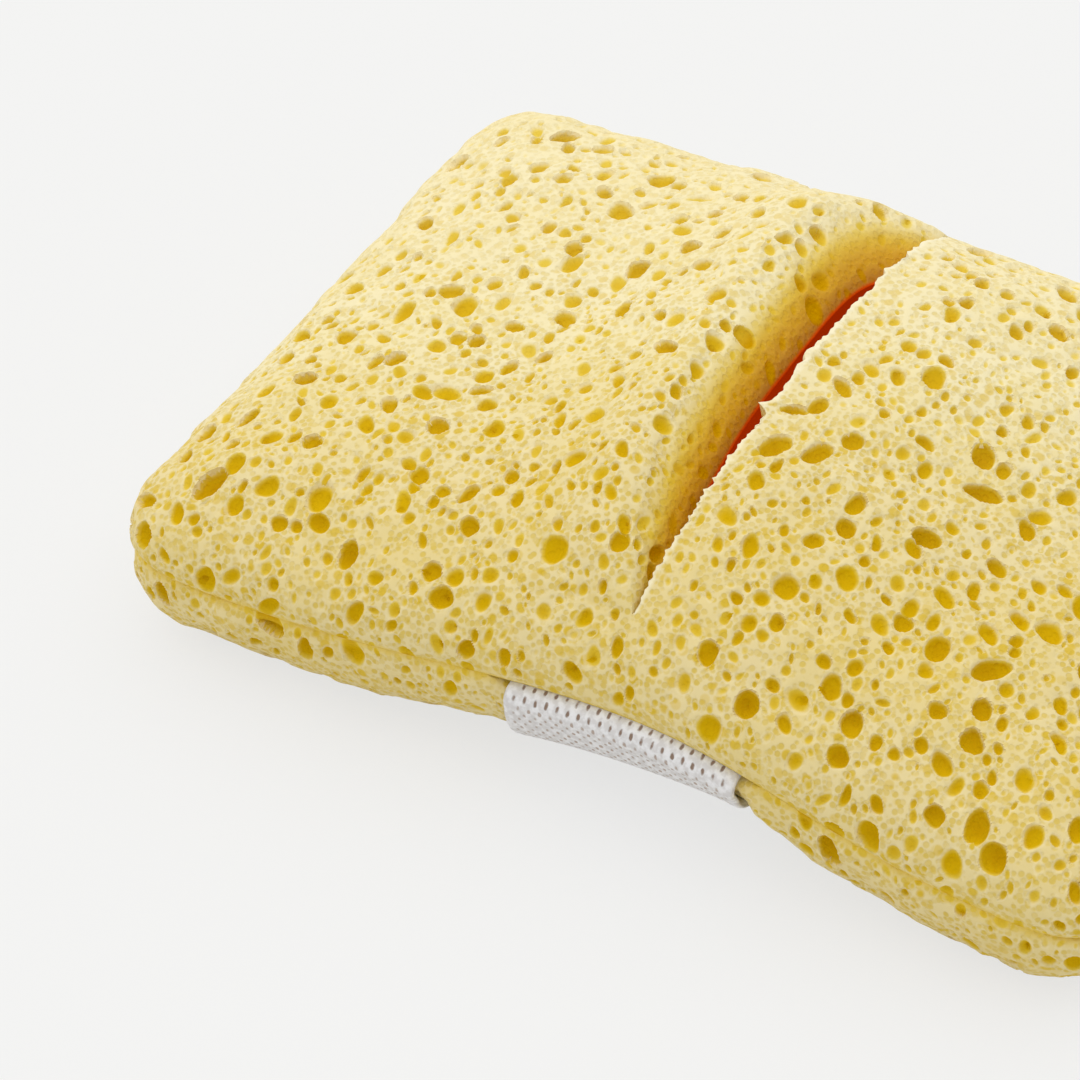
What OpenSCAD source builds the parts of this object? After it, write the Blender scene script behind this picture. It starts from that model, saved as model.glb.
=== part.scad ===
// Bath sponge mitt. Two foam layers are sewn together all round their rim, with a
// pocket between them that opens through a slit across the upper layer. An elastic
// strap, sewn into the same seam at both sides, runs across underneath. It draws in
// the waist, so that the mitt stands arched on its two ends.
//
// +X runs along the mitt, +Y across it towards the back and +Z up, in millimetres.
// The origin is on the surface that it stands on, under the middle of the mitt.

/* [Mitt] */
// Length from end to end
mitt_length = 184; // [176:1:196]
// Width at the two ends, before the strap draws the waist in
mitt_width = 134; // [126:1:144]
// Height of the upper layer above the seam
upper_height = 18.5; // [17:0.5:23]
// Depth of the lower layer below the seam
lower_depth = 19.5; // [18:0.5:23]
// Thickness of the foam
foam_thickness = 12; // [10:0.5:12.5]

/* [Edges] */
// Distance over which the upper layer rounds over at its edge
upper_round = 40; // [36:1:46]
// Distance over which the lower layer rounds over at its edge
lower_round = 18; // [16:1:20]
// Squareness of the corners seen from above, where 2 is round
corner_power = 7; // [4:0.5:8]
// Depth of the groove at the seam
groove_depth = 1.5; // [1:0.25:2.5]
// Height of the rounded lip on each side of the groove
groove_lip = 3; // [2.5:0.25:4]
// Width of the sewn rim, from the widest line to the pocket
rim_width = 14; // [12.5:0.5:16]

/* [Waist] */
// Place of the waist and the strap along the mitt
waist_x = 8; // [0:1:9]
// Part of the width that the strap takes away at the middle
waist_pinch = 0.055; // [0.03:0.005:0.07]
// Part of the thickness that is lost at the middle
waist_squeeze = 0.06; // [0.03:0.01:0.09]
// Reach of the pinched waist along the mitt
waist_reach = 34; // [30:1:40]
// Height of the arch at the middle
arch_height = 13.5; // [13:0.5:15]
// Reach of the arch along the mitt, for a waist at its middle
arch_reach = 42; // [40:0.5:46]
// Drop of the long edges at the waist, from the middle line
edge_drop = 6.5; // [6:0.5:7.5]
// Rise of the underside over the strap, where the palm goes
palm_hollow = 6; // [5:0.5:7]
// Reach of that hollow along the mitt
palm_reach = 28; // [24:1:30]

/* [Slit] */
// Place of the slit's straight right edge along the mitt
slit_x = 2; // [-2:1:8]
// Front end of the slit on the top face
slit_front = -57; // [-58:1:-52]
// Back end of the slit on the top face
slit_back = 61; // [54:1:61]
// Distance by which the left edge stands back at the middle of the slit
slit_gap = 14.5; // [9:0.5:16]
// Shift of the widest place of the slit towards the back, where 0 is the middle
slit_skew = 0.5; // [0.2:0.05:0.6]
// Width of the cut where it opens into the pocket
throat_gap = 7; // [5.5:0.5:8]
// Part of its length that the slit loses towards the pocket at each end
slit_taper = 0.18; // [0.17:0.01:0.24]
// Height by which the left edge of the slit curls up
curl_rise = 5; // [2:0.5:6]
// Reach of the curled edge along the mitt
curl_reach = 15; // [10:1:20]

/* [Strap] */
// Width of the elastic strap
strap_width = 44; // [38:1:48]
// Thickness of the elastic strap
strap_thickness = 1.4; // [1:0.1:1.6]
// Length of each strap end that is sewn into the rim
strap_tuck = 8; // [6:0.5:9]
// Clearance between the strap and the foam
strap_clearance = 0.3; // [0.2:0.05:0.4]
// Height of the strap's upper face where it runs straight across underneath
strap_level = 6.8; // [6:0.1:7.3]

// Part of the lower layer's thickness that the strap's tight right edge takes away
edge_nip = 0.24; // [0:0.02:0.28]
// Reach of that nip along the mitt
nip_reach = 12; // [10:1:16]

/* [Rest] */
// Depth to which each end settles flat on its surface
settle = 1.5; // [1.3:0.1:2]

/* [Hidden] */

half_length = mitt_length / 2;
half_width = mitt_width / 2;
slit_middle = (slit_front + slit_back) / 2;
slit_half = (slit_back - slit_front) / 2;
// Half of the straight run of the strap under the waist
strap_span = half_width * (1 - waist_pinch) - lower_round;
foam_colour = [0.89, 0.81, 0.52];
strap_colour = [0.82, 0.8, 0.77];

// Steps round a quarter of the rim: end, corner, side to the recess, and strap
end_steps = 3;
corner_steps = 12;
side_steps = 4;
strap_steps = 4;
// Steps across the lip at the groove, an outer face and a face of the pocket
lip_steps = 3;
crown_steps = 12;
pocket_steps = 7;
// Sections along the strap's width, at the outline's own points beside it
strap_sections = 2 * strap_steps;
// Steps round the strap's edge and underneath
edge_steps = 6;
under_steps = 6;
// Angle round the lower edge at which the strap leaves the foam
leave_angle = 75;
// Distance beside the strap over which its recess closes
recess_ramp = 4;

function mix(a, b, t) = a + (b - a) * t;
function clamp(v) = min(1, max(0, v));
// Quarter of an ellipse, rising from 0 at the edge to 1 at a distance of 1
function dome(t) = sqrt(1 - pow(1 - clamp(t), 2));
function bell(v, reach) = exp(-pow(v / reach, 2));
function reversed(list) = [for (i = [len(list) - 1 : -1 : 0]) list[i]];

// ---- Plan ----

// Point of a square-shouldered corner of unit size, in the direction of an angle
function corner_point(angle) =
    [cos(angle), sin(angle)]
    / pow(pow(cos(angle), corner_power) + pow(sin(angle), corner_power), 1 / corner_power);

// Angle of a corner's point, where the points crowd towards the middle of the corner
function corner_angle(t) = 90 * t + 8 * sin(360 * t);

// First quarter of the outline at an inset from the widest line, from the +X end. It
// has points at the strap's edge, and where the recess for the strap closes.
function quarter(inset) =
    let (
        core = [half_length, half_width] - upper_round * [1, 1],
        size = upper_round - inset,
        strap_edge = strap_width / 2,
        ramp_edge = strap_edge + recess_ramp
    )
    [
        for (i = [0 : end_steps - 1]) [core.x + size, core.y * i / end_steps],
        for (i = [0 : corner_steps - 1])
            core + size * corner_point(corner_angle(i / corner_steps)),
        for (i = [0 : side_steps]) [mix(core.x, ramp_edge, i / side_steps), core.y + size],
        for (i = [0 : strap_steps - 1]) [strap_edge * (1 - i / strap_steps), core.y + size]
    ];

// Shift that keeps the outline's points beside the strap, and fades out at the corners
function side_shift(x) =
    let (core = half_length - upper_round, ramp_edge = strap_width / 2 + recess_ramp)
    waist_x * clamp((core - abs(x)) / (core - ramp_edge));

// The closed outline at an inset, anticlockwise from the +X end
function outline(inset) =
    let (
        near = quarter(inset),
        far = [
            [0, half_width - inset],
            for (i = [len(near) - 1 : -1 : 1]) [-near[i].x, near[i].y]
        ]
    )
    [for (p = concat(near, far, -near, -far)) [p.x + side_shift(p.x), p.y]];

// Inset of the outline that passes through a point of the plan
function inset_at(p) =
    let (
        u = max(0, abs(p.x) - half_length + upper_round) / upper_round,
        v = max(0, abs(p.y) - half_width + upper_round) / upper_round
    )
    upper_round * (1 - pow(pow(u, corner_power) + pow(v, corner_power), 1 / corner_power));

// Place along the slit, from -1 at its front end to 1 at its back end
function along_slit(y) = (y - slit_middle) / slit_half;

// Part of its full width that the slit has at a place along it
function slit_opening(t) = (1 - t * t) * (1 + slit_skew * t);

// The slit as a closed loop, with one point for each of the outline's. Its right edge is
// straight, and its left edge stands back by the gap.
function slit_loop(taper, gap) =
    let (n = len(outline(0)))
    [for (i = [0 : n - 1])
        let (across = cos(360 * i / n), along = sin(360 * i / n))
        [
            slit_x - (across < 0 ? gap * slit_opening(along) : 0),
            slit_middle + slit_half * (1 - taper) * along
        ]];

// Points between two matched loops, where t is 0 at the inner one
function between(inner, outer, t) =
    [for (i = [0 : len(inner) - 1]) mix(inner[i], outer[i], t)];

// ---- Heights above the seam, before the mitt is bent ----

// Part of the curl's full height at a place along the slit. It keeps up to the back end.
function curl_part(t) = sqrt(1 - pow(abs(t), t > 0 ? 6 : 2));

// Rise of the foam on the left of the slit, which curls up along the cut
function curl(p) =
    let (
        t = min(1, abs(along_slit(p.y))) * sign(p.y - slit_middle),
        edge = slit_x - slit_gap * slit_opening(t)
    )
    p.x > slit_x - 0.01
    ? 0
    : curl_rise * curl_part(t) * bell(max(0, edge - p.x), curl_reach);

// Rise of the underside above the strap
function palm_rise(p) =
    palm_hollow * bell(p.x - waist_x, palm_reach) * (1 - pow(clamp(abs(p.y) / strap_span), 2));

function top_face(p) =
    groove_lip + (upper_height - groove_lip) * dome(inset_at(p) / upper_round) + curl(p);
function bottom_face(p) =
    -groove_lip - (lower_depth - groove_lip) * dome(inset_at(p) / lower_round) + palm_rise(p);

function pocket_dome(p) = dome((inset_at(p) - rim_width) / (upper_round - rim_width));
function pocket_roof(p) =
    (upper_height - foam_thickness) * pocket_dome(p)
    + curl(p) * clamp((inset_at(p) - rim_width) / 8);
function pocket_floor(p) = palm_rise(p) - (lower_depth - foam_thickness) * pocket_dome(p);

// Depth of the recess in the lower rim that takes a sewn end of the strap
function recess(p) =
    abs(p.x - waist_x) < strap_width / 2 + 0.01 && inset_at(p) < rim_width - 0.01
    ? strap_thickness + strap_clearance
    : 0;

// Height of the arch along the mitt. The side that is nearer its end falls steeper.
function arch(x) =
    let (part = (x > waist_x ? -1 : 1) * waist_x / half_length)
    arch_height * bell(x - waist_x, arch_reach * (1 + part));

// Part of the lower layer's thickness that is nipped at the strap's right edge
function nip(x) = edge_nip * bell(x - waist_x - strap_width / 2 + 2, nip_reach);

// A point of the flat mitt, moved to its place on the bent one. The strap draws in the
// waist and arches it, and the ends settle flat on the surface.
function bend(p) =
    let (
        pinch = bell(p.x - waist_x, waist_reach),
        drop = edge_drop * pinch * pow(p.y / half_width, 2),
        nipped = nip(p.x) * max(0, -p.z - groove_lip),
        height = p.z * (1 - waist_squeeze * pinch) + nipped + arch(p.x) - drop
    )
    [p.x, p.y * (1 - waist_pinch * pinch), max(0, lower_depth - settle + height)];

// ---- Rings: closed lists of bent points round the mitt ----

// Ring of the rounded lip beside the groove, whose angle is 0 at the bottom of the groove
// and 90 at the widest line. Side is 1 for the upper layer and -1 for the lower one.
function lip_ring(angle, side) =
    [for (p = outline(groove_depth * (1 - sin(angle))))
        let (start = side < 0 ? recess(p) : 0)
        bend([p.x, p.y, side * mix(start, groove_lip, 1 - cos(angle))])];

// Rings of the lip from the bottom of the groove out, short of the widest line
function lip_rings(side) =
    [for (i = [0 : lip_steps - 1]) lip_ring(90 * i / lip_steps, side)];

// Ring of the sewn rim at the inner end of the strap
function rim_ring(side) =
    [for (p = outline(groove_depth + strap_tuck))
        bend([p.x, p.y, side < 0 ? -recess(p) : 0])];

// ---- Solids ----

// Two triangles between neighbouring points of two rings
function quad(a, b, c, d) = [[a, b, c], [a, c, d]];

// Solid skinned over rings. It closes on itself, or ends in a hub point at each end. The
// two kinds split their quads opposite ways, so that the layers meet facet on facet.
module ring_solid(rings, hubs = []) {
    n = len(rings[0]);
    m = len(rings);
    open = len(hubs) > 0;
    sides = [for (j = [0 : open ? m - 2 : m - 1], i = [0 : n - 1])
        let (k = (i + 1) % n, row = j * n, next_row = (j + 1) % m * n)
        each open
            ? quad(row + k, next_row + k, next_row + i, row + i)
            : quad(row + i, row + k, next_row + k, next_row + i)];
    caps = [for (i = [0 : open ? n - 1 : -1])
        let (k = (i + 1) % n, last_row = (m - 1) * n)
        each [[m * n, k, i], [m * n + 1, last_row + i, last_row + k]]];
    points = [for (ring = rings) each ring];
    polyhedron(concat(points, hubs), concat(sides, caps), convexity = 6);
}

// Solid band over rings that each run along one face and back along the other
module band_solid(rings) {
    n = len(rings[0]);
    m = len(rings);
    last_row = (m - 1) * n;
    sides = [for (j = [0 : m - 2], i = [0 : n - 1])
        let (k = (i + 1) % n, row = j * n, next_row = row + n)
        each quad(row + i, row + k, next_row + k, next_row + i)];
    caps = [for (i = [0 : n / 2 - 2])
        let (back = n - 1 - i)
        each concat(
            quad(i, back, back - 1, i + 1),
            quad(last_row + i, last_row + i + 1, last_row + back - 1, last_row + back)
        )];
    polyhedron([for (ring = rings) each ring], concat(sides, caps), convexity = 6);
}

// ---- Parts ----

// Upper foam layer: its top face, lip, rim and pocket roof, with the slit through it
module upper_layer() {
    mouth = slit_loop(0, slit_gap);
    throat = slit_loop(slit_taper, throat_gap);
    top = [for (i = [0 : crown_steps])
        [for (p = between(mouth, outline(0), (1 - cos(180 * i / crown_steps)) / 2))
            bend([p.x, p.y, top_face(p)])]];
    roof = [for (i = [0 : pocket_steps])
        [for (p = between(throat, outline(rim_width), 1 - i / pocket_steps))
            bend([p.x, p.y, pocket_roof(p)])]];
    color(foam_colour)
        ring_solid(concat(top, reversed(lip_rings(1)), [rim_ring(1)], roof));
}

// Lower foam layer: its pocket floor, rim with the strap's two recesses, lip and underside
module lower_layer() {
    centre = [for (p = outline(0)) [0, 0]];
    floor = [for (i = [1 : pocket_steps])
        [for (p = between(centre, outline(rim_width), i / pocket_steps))
            bend([p.x, p.y, pocket_floor(p)])]];
    underside = [for (i = [crown_steps : -1 : 1])
        [for (p = between(centre, outline(0), sin(90 * i / crown_steps)))
            bend([p.x, p.y, bottom_face(p)])]];
    hubs = [bend([0, 0, pocket_floor([0, 0])]), bend([0, 0, bottom_face([0, 0])])];
    color(foam_colour)
        ring_solid(concat(floor, [rim_ring(-1)], lip_rings(-1), underside), hubs);
}

// Height of the strap's upper face where it runs straight across underneath
function strap_height(x) = strap_level + (lower_depth - groove_lip) * nip(x);

// Half of the strap's inner face at one place along the mitt, as points across and up:
// from the sewn end at the front, out of the groove, round the lower edge and underneath
function strap_half(x) =
    let (
        gap = strap_clearance,
        start = strap_thickness + gap / 2,
        sewn = [[groove_depth + strap_tuck, -start]],
        lip = [for (i = [0 : lip_steps - 1])
            let (a = 90 * i / lip_steps)
            [groove_depth * (1 - sin(a)) - gap * sin(a), -mix(start, groove_lip, 1 - cos(a))]],
        edge = [for (i = [0 : edge_steps])
            let (a = leave_angle * i / edge_steps)
            [
                lower_round - (lower_round + gap) * cos(a),
                -groove_lip - (lower_depth - groove_lip + gap) * sin(a)
            ]]
    )
    [
        for (q = concat(sewn, lip, edge))
            let (p = bend([x, q[0] - half_width, q[1]])) [p.y, p.z],
        for (i = [under_steps : -1 : 1]) [-strap_span * i / under_steps, strap_height(x)]
    ];

// Closed section of the strap at one place along the mitt
function strap_ring(x) =
    let (
        half = strap_half(x),
        back = [for (q = reversed(half)) [-q[0], q[1]]],
        path = concat(half, [[0, strap_height(x)]], back),
        last = len(path) - 1,
        outer = [for (k = [0 : last])
            let (
                along = path[min(last, k + 1)] - path[max(0, k - 1)],
                out = [along[1], -along[0]] / norm(along)
            )
            path[k] + strap_thickness * out]
    )
    [for (q = concat(path, reversed(outer))) [x, q[0], q[1]]];

// Elastic strap: a band across the mitt, with both ends sewn into the rim
module hand_strap() {
    color(strap_colour)
        band_solid([for (i = [0 : strap_sections])
            strap_ring(waist_x + strap_width * (i / strap_sections - 0.5))]);
}

upper_layer();
lower_layer();
hand_strap();
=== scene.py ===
# %% [markdown]
# # Bath sponge mitt
# The real mitt is two panels of soft sponge foam, sewn together all round their rim. A
# slit across the upper one opens into the pocket between them. A knitted elastic strap,
# sewn into the same seam at both sides, runs across underneath and arches the mitt.
#
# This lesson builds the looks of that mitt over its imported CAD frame. The foam could be
# a plain block with a bump texture, but its pits are deep enough to show at the outline,
# so they are cut into the mesh. Each shape is a formula worked out with numpy on whole
# arrays. Lengths in the formulas are millimetres, and a mesh is stored in metres.

# %% Load the frame
import math
import time

import bpy
import numpy as np
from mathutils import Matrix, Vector


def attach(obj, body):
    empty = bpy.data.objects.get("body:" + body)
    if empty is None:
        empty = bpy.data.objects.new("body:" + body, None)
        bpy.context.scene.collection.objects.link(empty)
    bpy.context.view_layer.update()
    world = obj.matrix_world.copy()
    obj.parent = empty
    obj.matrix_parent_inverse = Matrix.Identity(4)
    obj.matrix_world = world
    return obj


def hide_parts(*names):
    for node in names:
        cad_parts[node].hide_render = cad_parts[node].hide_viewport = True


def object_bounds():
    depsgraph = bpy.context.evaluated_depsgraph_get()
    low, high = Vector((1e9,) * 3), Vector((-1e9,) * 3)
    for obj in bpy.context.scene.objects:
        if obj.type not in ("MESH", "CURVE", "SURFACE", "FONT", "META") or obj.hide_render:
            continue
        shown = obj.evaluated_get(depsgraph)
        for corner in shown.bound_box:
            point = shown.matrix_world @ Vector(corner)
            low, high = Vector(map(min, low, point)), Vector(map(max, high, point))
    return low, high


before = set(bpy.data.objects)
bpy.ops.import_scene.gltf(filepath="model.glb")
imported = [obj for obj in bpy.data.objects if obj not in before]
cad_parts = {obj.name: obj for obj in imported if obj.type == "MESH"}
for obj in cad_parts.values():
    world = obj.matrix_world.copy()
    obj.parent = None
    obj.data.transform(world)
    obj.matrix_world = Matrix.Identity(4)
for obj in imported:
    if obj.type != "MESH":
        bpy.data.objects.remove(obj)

STARTED = time.time()
CAD_BOX = [list(corner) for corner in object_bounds()]

# %% [markdown]
# ## Camera
# A long lens from the front right and above, as for a small object on a table. Azimuth
# and elevation turn the camera round the object, and the middle of its view is moved off
# the mitt's own middle, so that the right end runs out of the frame.

# %% Camera
AZIMUTH, ELEVATION = math.radians(30.033), math.radians(43.065)
DISTANCE, LENS, SENSOR = 0.863399, 171.832, 36.0
ASIDE, ABOVE = -0.046850, -0.003381


def camera_axes(azimuth, elevation):
    """The camera's right, up and forward directions, from its two angles."""
    ca, sa = math.cos(azimuth), math.sin(azimuth)
    ce, se = math.cos(elevation), math.sin(elevation)
    right = np.array([ca, sa, 0.0])
    up = np.array([-sa * se, ca * se, ce])
    return right, up, np.array([-sa * ce, ca * ce, -se])


right, up, forward = camera_axes(AZIMUTH, ELEVATION)
spot = right * ASIDE + up * ABOVE - forward * DISTANCE + np.array([0.008, 0, 0.019])
camera = bpy.data.objects.new("camera", bpy.data.cameras.new("camera"))
bpy.context.scene.collection.objects.link(camera)
camera.location = spot
camera.rotation_euler = (math.pi / 2 - ELEVATION, 0, AZIMUTH)
camera.data.lens, camera.data.sensor_width = LENS, SENSOR
camera.data.clip_start, camera.data.clip_end = 0.05, 20
bpy.context.scene.camera = camera
print("camera at", [round(v, 3) for v in camera.location])

# %% [markdown]
# ## Light, floor and background
# Soft daylight comes from above and a little from the back left, so the pits' far walls
# catch it and the front edge turns a deeper yellow. A sun lamp with a wide angle does that
# evenly over the whole floor, where an area lamp would fade with distance. The world fills
# in the rest. The foam's colour adds painted light and shade to this: paler at the back
# left, deeper yellow at the front.

# %% Light
def linear(r, g, b):
    """Colour values from 0 to 255 as seen on a screen, made linear for a shader."""
    c = np.array([r, g, b]) / 255
    return [*np.where(c <= 0.04045, c / 12.92, ((c + 0.055) / 1.055) ** 2.4), 1.0]


PAPER = linear(242, 242, 241)
SUN, SUN_ANGLE, FILL = 1.59, 110, 0.62
scene = bpy.context.scene
scene.view_settings.view_transform = "Standard"


def sun(name, strength, angle, direction, colour):
    """A sun lamp that shines along a direction; its angle is in degrees."""
    lamp = bpy.data.lights.new(name, "SUN")
    lamp.energy, lamp.angle, lamp.color = strength, math.radians(angle), colour
    thing = bpy.data.objects.new(name, lamp)
    scene.collection.objects.link(thing)
    thing.rotation_euler = Vector(direction).to_track_quat("-Z", "Y").to_euler()


sun("window light", SUN, SUN_ANGLE, (0.26, -0.16, -0.95), (1.0, 0.985, 0.96))
world = bpy.data.worlds.new("studio")
scene.world = world
world.use_nodes = True
sky = world.node_tree.nodes["Background"].inputs
sky[0].default_value, sky[1].default_value = (0.97, 0.98, 1.0, 1), FILL

# %% Floor
class Tree:
    """A short way to write a material's nodes: each call adds one node and links it."""

    def __init__(self, name):
        self.material = bpy.data.materials.new(name)
        self.material.use_nodes = True
        self.nodes = self.material.node_tree.nodes
        self.links = self.material.node_tree.links
        self.nodes.clear()

    def add(self, kind, settings=None, **inputs):
        """One node; an input given as a socket is linked, and any other value is set."""
        node = self.nodes.new("ShaderNode" + kind)
        for key, value in (settings or {}).items():
            setattr(node, key, value)
        for key, value in inputs.items():
            name = int(key[1:]) if key[1:].isdigit() else key.replace("_", " ")
            socket = node.inputs[name]
            if isinstance(value, bpy.types.NodeSocket):
                self.links.new(value, socket)
            else:
                socket.default_value = value
        return node

    def math(self, operation, a, b=0.0, clamp=False):
        """One step of arithmetic."""
        return self.add("Math", {"operation": operation, "use_clamp": clamp}, i0=a, i1=b).outputs[0]

    def times(self, a, b):
        """One value times another."""
        return self.math("MULTIPLY", a, b)

    def ramp(self, value, low, high, start=0.0, end=1.0):
        """A smooth step: start below low, end above high."""
        return self.add("MapRange", {"interpolation_type": "SMOOTHSTEP"}, Value=value,
                        From_Min=low, From_Max=high, To_Min=start, To_Max=end).outputs[0]

    def mix(self, factor, a, b):
        """One colour laid over another."""
        return self.add("Mix", {"data_type": "RGBA"}, i0=factor, i6=a, i7=b).outputs[2]

    def finish(self, shader):
        """Links the last shader to the output."""
        self.links.new(shader, self.add("OutputMaterial").inputs[0])
        return self.material


def paper():
    """Pale floor: a matt sheet, which the camera sees mostly as its own even colour."""
    tree = Tree("pale floor")
    matt = tree.add("BsdfDiffuse", Color=PAPER).outputs[0]
    even = tree.add("Emission", Color=PAPER, Strength=1.0).outputs[0]
    path = tree.add("LightPath")
    seen = tree.times(path.outputs["Is Camera Ray"], 0.8)
    return tree.finish(tree.add("MixShader", i0=seen, i1=matt, i2=even).outputs[0])


floor_mesh = bpy.data.meshes.new("floor")
floor_mesh.from_pydata([(-4, -4, 0), (4, -4, 0), (4, 4, 0), (-4, 4, 0)], [], [(0, 1, 2, 3)])
floor = bpy.data.objects.new("floor", floor_mesh)
floor.location.z = -0.0002
scene.collection.objects.link(floor)
floor_mesh.materials.append(paper())
print("floor", [round(v, 1) for v in floor.dimensions])

# %% [markdown]
# ## The shape of the foam
# Both panels are flat when they are sewn, and the strap then bends them. So the formulas
# first give the flat mitt, measured from its seam, and one function bends every point in
# the same way. Nearly all numbers are the CAD source's own, so that each soft piece fills
# the space of the solid it stands for. The seam's groove is shallower, since foam swells
# into it, the slit's back end is blunter, and the strap is a little narrower and sinks
# into the foam by up to PRESS.

# %% Sizes, in millimetres
HALF = np.array([92.0, 67.0])
CORNER, POWER = 40.0, 7.0
UPPER, LOWER, FOAM = 18.5, 19.5, 12.0
LOWER_ROUND, GROOVE, LIP, RIM = 18.0, 0.9, 3.0, 14.0
WAIST_X, PINCH, SQUEEZE, WAIST = 8.0, 0.055, 0.06, 34.0
ARCH, ARCH_REACH, DROP, PALM, PALM_REACH = 13.5, 42.0, 6.5, 6.0, 28.0
NIP, NIP_REACH, SETTLE = 0.24, 12.0, 1.5
SLIT_X, SLIT_FRONT, SLIT_BACK, GAP, SKEW = 2.0, -57.0, 61.0, 14.5, 0.2
CURL, CURL_REACH = 5.0, 15.0
STRAP_X, STRAP, STRAP_THICK, TUCK, CLEAR, LEVEL = 6.0, 42.0, 1.4, 8.0, 0.3, 6.8
PRESS = 1.2
SPAN = HALF[1] * (1 - PINCH) - LOWER_ROUND
CAD_LENGTH = 1000 * (CAD_BOX[1][0] - CAD_BOX[0][0])
print("CAD length", round(CAD_LENGTH, 2), "here", 2 * HALF[0])


# %% Bending the flat mitt
def dome(t):
    """A quarter of an ellipse: 0 at the edge, rising steeply, and 1 from a distance of 1."""
    return np.sqrt(1 - (1 - np.clip(t, 0, 1)) ** 2)


def bell(v, reach):
    """A bell curve: 1 at the middle, and about a third at the reach."""
    return np.exp(-(v / reach) ** 2)


def nip(x):
    """Share of the lower panel's thickness that the strap's tight right edge takes away."""
    return NIP * bell(x - WAIST_X - 20, NIP_REACH)


def bend(flat):
    """Points of the flat mitt, moved to where the strap pulls them. The waist is drawn in
    and arched by bell curves along the mitt, its long edges drop with the square of their
    distance from the middle line, and what would go below the table lies flat on it."""
    x, y, z = flat[..., 0], flat[..., 1], flat[..., 2]
    pinch = bell(x - WAIST_X, WAIST)
    drop = DROP * pinch * (y / HALF[1]) ** 2
    reach = ARCH_REACH * (1 + np.where(x > WAIST_X, -1, 1) * WAIST_X / HALF[0])
    arch = ARCH * bell(x - WAIST_X, reach)
    height = z * (1 - SQUEEZE * pinch) + nip(x) * np.maximum(0, -z - LIP) + arch - drop
    return np.stack([x, y * (1 - PINCH * pinch), np.maximum(0, LOWER - SETTLE + height)], -1)


def beside_strap(x, margin):
    """1 along the strap's width, falling to 0 over a margin on both sides of it."""
    return np.clip((STRAP / 2 + margin - np.abs(x - STRAP_X)) / margin, 0, 1)


def palm_rise(x, y):
    """The hollow over the strap, a bell along the mitt and a parabola across it."""
    return PALM * bell(x - WAIST_X, PALM_REACH) * (1 - np.clip(np.abs(y) / SPAN, 0, 1) ** 2)


# %% One face of a layer
def edge_profile(height, reach):
    """Section of a face, out from its flat middle to the bottom of the seam groove. The
    rounded edge is a quarter of an ellipse, and the lip at the groove a parabola. Gives
    the distance along the section, the inset from the widest line, and the height above
    the seam."""
    turn, lip = np.linspace(0, np.pi / 2, 300), np.linspace(0, 1, 60)[1:]
    level = np.linspace(CORNER, reach, 30, endpoint=False) if reach < CORNER else np.empty(0)
    inset = np.concatenate([level, reach * (1 - np.sin(turn)), GROOVE * lip ** 2])
    rise = np.concatenate([
        np.full(len(level), height), LIP + (height - LIP) * np.cos(turn), LIP * (1 - lip),
    ])
    along = np.append(0, np.cumsum(np.hypot(np.diff(inset), np.diff(rise))))
    return along, inset, rise


def face_points(a, b, profile):
    """Flat-mitt points of a face from two distances over the surface, a along and b
    across. In the middle they are plain x and y. Beyond the core rectangle the larger
    excess picks the ring of equal inset, and the two excesses give the direction in it,
    scaled by their power norm, which makes the corners square-shouldered."""
    core = HALF - CORNER
    ea, eb = np.maximum(0, np.abs(a) - core[0]), np.maximum(0, np.abs(b) - core[1])
    norm = np.maximum((ea ** POWER + eb ** POWER) ** (1 / POWER), 1e-9)
    along, inset, rise = profile
    ring = np.maximum(ea, eb)
    out = CORNER - np.interp(ring, along, inset)
    x = np.sign(a) * (np.minimum(np.abs(a), core[0]) + out * ea / norm)
    y = np.sign(b) * (np.minimum(np.abs(b), core[1]) + out * eb / norm)
    return x, y, np.interp(ring, along, rise)


def inset_at(x, y):
    """Inset of the outline that passes through a point of the plan."""
    u, v = (np.maximum(0, np.abs(c) - half + CORNER) / CORNER for c, half in zip((x, y), HALF))
    return CORNER * (1 - (u ** POWER + v ** POWER) ** (1 / POWER))


def pocket_dome(x, y):
    """Share of the pocket's full height, a quarter ellipse in from the sewn rim."""
    return dome((inset_at(x, y) - RIM) / (CORNER - RIM))


print("section of the upper face is", round(edge_profile(UPPER, CORNER)[0][-1], 1), "mm long")


# %% [markdown]
# ## The slit
# The cut runs straight across the upper panel. Its right edge stays where it was cut,
# and the foam on its left is pushed back and curls up along the cut, so the slit is a
# lens with one straight side, widest a little behind its middle. The curled foam turns
# over softly into the cut, and the left wall slopes down from there as a plump roll. The
# right edge is thin and frayed, with one tooth where the foam tore.

# %% Slit
SLIT_MIDDLE, SLIT_HALF = (SLIT_FRONT + SLIT_BACK) / 2, (SLIT_BACK - SLIT_FRONT) / 2
THROAT_GAP, THROAT_POWER, TAPER = 4.9, 1.4, 0.22
ROLL, ROLL_DROP, PLUMP, GIVE = 6.5, 2.4, 0.9, 54
TOOTH, TOOTH_Y, TOOTH_REACH = 2.0, -9.5, 0.9


def opening(t):
    """Share of the full gap along the slit, a blunt arch leaning towards the back."""
    return (1 - np.abs(t) ** np.where(t > 0, 7, 2.6)) * (1 + SKEW * t)


def curled(t):
    """Share of the full curl along the slit. It keeps up to the blunt back end."""
    return np.sqrt(1 - np.abs(t) ** np.where(t > 0, 10, 2))


def slit_place(y):
    """Place along the slit, -1 at its front end and 1 at its back end."""
    return np.clip((y - SLIT_MIDDLE) / SLIT_HALF, -1, 1)


def curl(x, y):
    """Height by which the foam left of the slit curls up: a bell away from the cut."""
    t = slit_place(y)
    edge = SLIT_X - GAP * opening(t)
    return CURL * curled(t) * bell(np.maximum(0, edge - x), CURL_REACH)


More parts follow.
